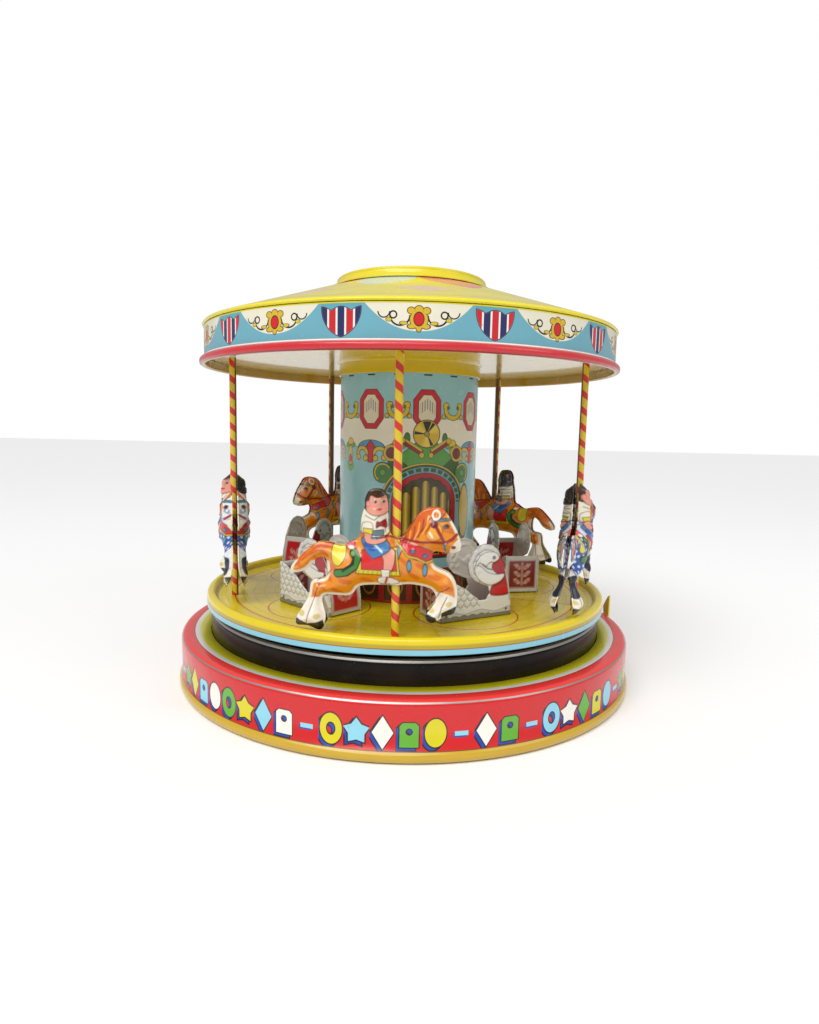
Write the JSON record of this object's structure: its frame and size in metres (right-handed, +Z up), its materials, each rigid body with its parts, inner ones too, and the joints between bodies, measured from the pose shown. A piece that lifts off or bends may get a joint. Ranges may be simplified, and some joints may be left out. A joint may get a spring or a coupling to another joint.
{
  "type": "wind-up tin merry-go-round toy",
  "caption": "Tin carousel toy: a stepped drum with clockwork inside turns a platform with a column, canopy, poles, riders on horses and swan seats.",
  "frame": {"origin": "on the ground under the centre of the drum", "axes": "+Z up along the spindle, -Y towards the front of the toy, +X to the right"},
  "size_m": [0.28, 0.28, 0.2406],
  "materials": {
    "red_litho": "glossy lithographed tin, red with coloured shapes",
    "black_litho": "glossy black lacquer on tin",
    "yellow_litho": "glossy lithographed tin, yellow",
    "blue_litho": "glossy lithographed tin, light blue pattern",
    "roof_litho": "glossy lithographed tin, yellow, pink and pale blue panels",
    "horse_litho": "glossy embossed lithographed tin, orange horse",
    "grey_horse_litho": "glossy embossed lithographed tin, dappled grey horse",
    "swan_litho": "glossy embossed lithographed tin, white swan",
    "pole_litho": "tin pole with red and yellow spiral",
    "tinplate": "bare tinplate",
    "steel": "plain steel",
    "spring_steel": "blued spring steel",
    "brass": "stamped brass"
  },
  "bodies": {
    "base": {"base_skirt": "red_litho", "base_plinth": "black_litho", "bottom_plate": "tinplate", "spindle_bush": "brass", "motor_lower_plate": "brass", "motor_upper_plate": "brass", "motor_pillar_1": "steel", "motor_pillar_2": "steel", "motor_pillar_3": "steel", "motor_pillar_4": "steel", "lever_post": "steel", "mainspring": "spring_steel"},
    "carousel": {"drive_spindle": "steel", "spindle_pinion": "steel", "platform_nut": "steel", "platform": "yellow_litho", "column": "blue_litho", "canopy_ceiling": "yellow_litho", "canopy_fascia": "blue_litho", "canopy_roof": "roof_litho", "roof_cap": "roof_litho", "pole_1": "pole_litho", "horse_outer_1": "horse_litho", "horse_inner_1": "horse_litho", "swan_seat_1": "swan_litho", "pole_2": "pole_litho", "horse_outer_2": "grey_horse_litho", "horse_inner_2": "grey_horse_litho", "swan_seat_2": "swan_litho", "pole_3": "pole_litho", "horse_outer_3": "horse_litho", "horse_inner_3": "horse_litho", "swan_seat_3": "swan_litho", "pole_4": "pole_litho", "horse_outer_4": "horse_litho", "horse_inner_4": "horse_litho", "swan_seat_4": "swan_litho", "pole_5": "pole_litho", "horse_outer_5": "grey_horse_litho", "horse_inner_5": "grey_horse_litho", "swan_seat_5": "swan_litho"},
    "great_wheel": {"great_wheel": "brass"},
    "winding": {"winding_arbor": "steel", "winding_key": "steel", "ratchet_wheel": "steel"},
    "click": {"ratchet_click": "steel"},
    "second": {"second_arbor": "steel", "second_wheel": "brass"},
    "third": {"third_arbor": "steel", "third_wheel": "brass"},
    "governor": {"governor_arbor": "steel", "governor_fan": "brass"},
    "lever": {"brake_lever": "yellow_litho"}
  },
  "joints": [
    {"name": "carousel_spin", "type": "hinge", "parent": "base", "child": "carousel", "pos_m": [0, 0, 0.0453], "axis": [0, 0, 1], "continuous": true},
    {"name": "great_wheel_turn", "type": "hinge", "parent": "base", "child": "great_wheel", "pos_m": [-0.03, 0, 0.0278], "axis": [0, 0, 1], "continuous": true},
    {"name": "winding_turn", "type": "hinge", "parent": "great_wheel", "child": "winding", "pos_m": [-0.03, 0, 0.025], "axis": [0, 0, 1], "continuous": true},
    {"name": "click_lift", "type": "hinge", "parent": "great_wheel", "child": "click", "pos_m": [-0.02175, 0.01429, 0.0252], "axis": [0, 0, 1], "range_deg": [0, 12], "stiffness_Nm_per_rad": 0.002},
    {"name": "second_arbor_turn", "type": "hinge", "parent": "base", "child": "second", "pos_m": [-0.03504, 0.02856, 0.0316], "axis": [0, 0, 1], "continuous": true},
    {"name": "third_arbor_turn", "type": "hinge", "parent": "base", "child": "third", "pos_m": [-0.01248, 0.03677, 0.0339], "axis": [0, 0, 1], "continuous": true},
    {"name": "governor_spin", "type": "hinge", "parent": "base", "child": "governor", "pos_m": [0.00918, 0.03295, 0.022], "axis": [0, 0, 1], "continuous": true},
    {"name": "brake_lever_swing", "type": "hinge", "parent": "base", "child": "lever", "pos_m": [0.09763, 0.02164, 0.0205], "axis": [0, 0, 1], "range_deg": [-14, 0]}
  ],
  "couplings": [
    {"joint": "great_wheel_turn", "follows": "carousel_spin", "ratio": -0.25},
    {"joint": "second_arbor_turn", "follows": "carousel_spin", "ratio": 1.2},
    {"joint": "third_arbor_turn", "follows": "carousel_spin", "ratio": -6},
    {"joint": "governor_spin", "follows": "carousel_spin", "ratio": 27}
  ]
}
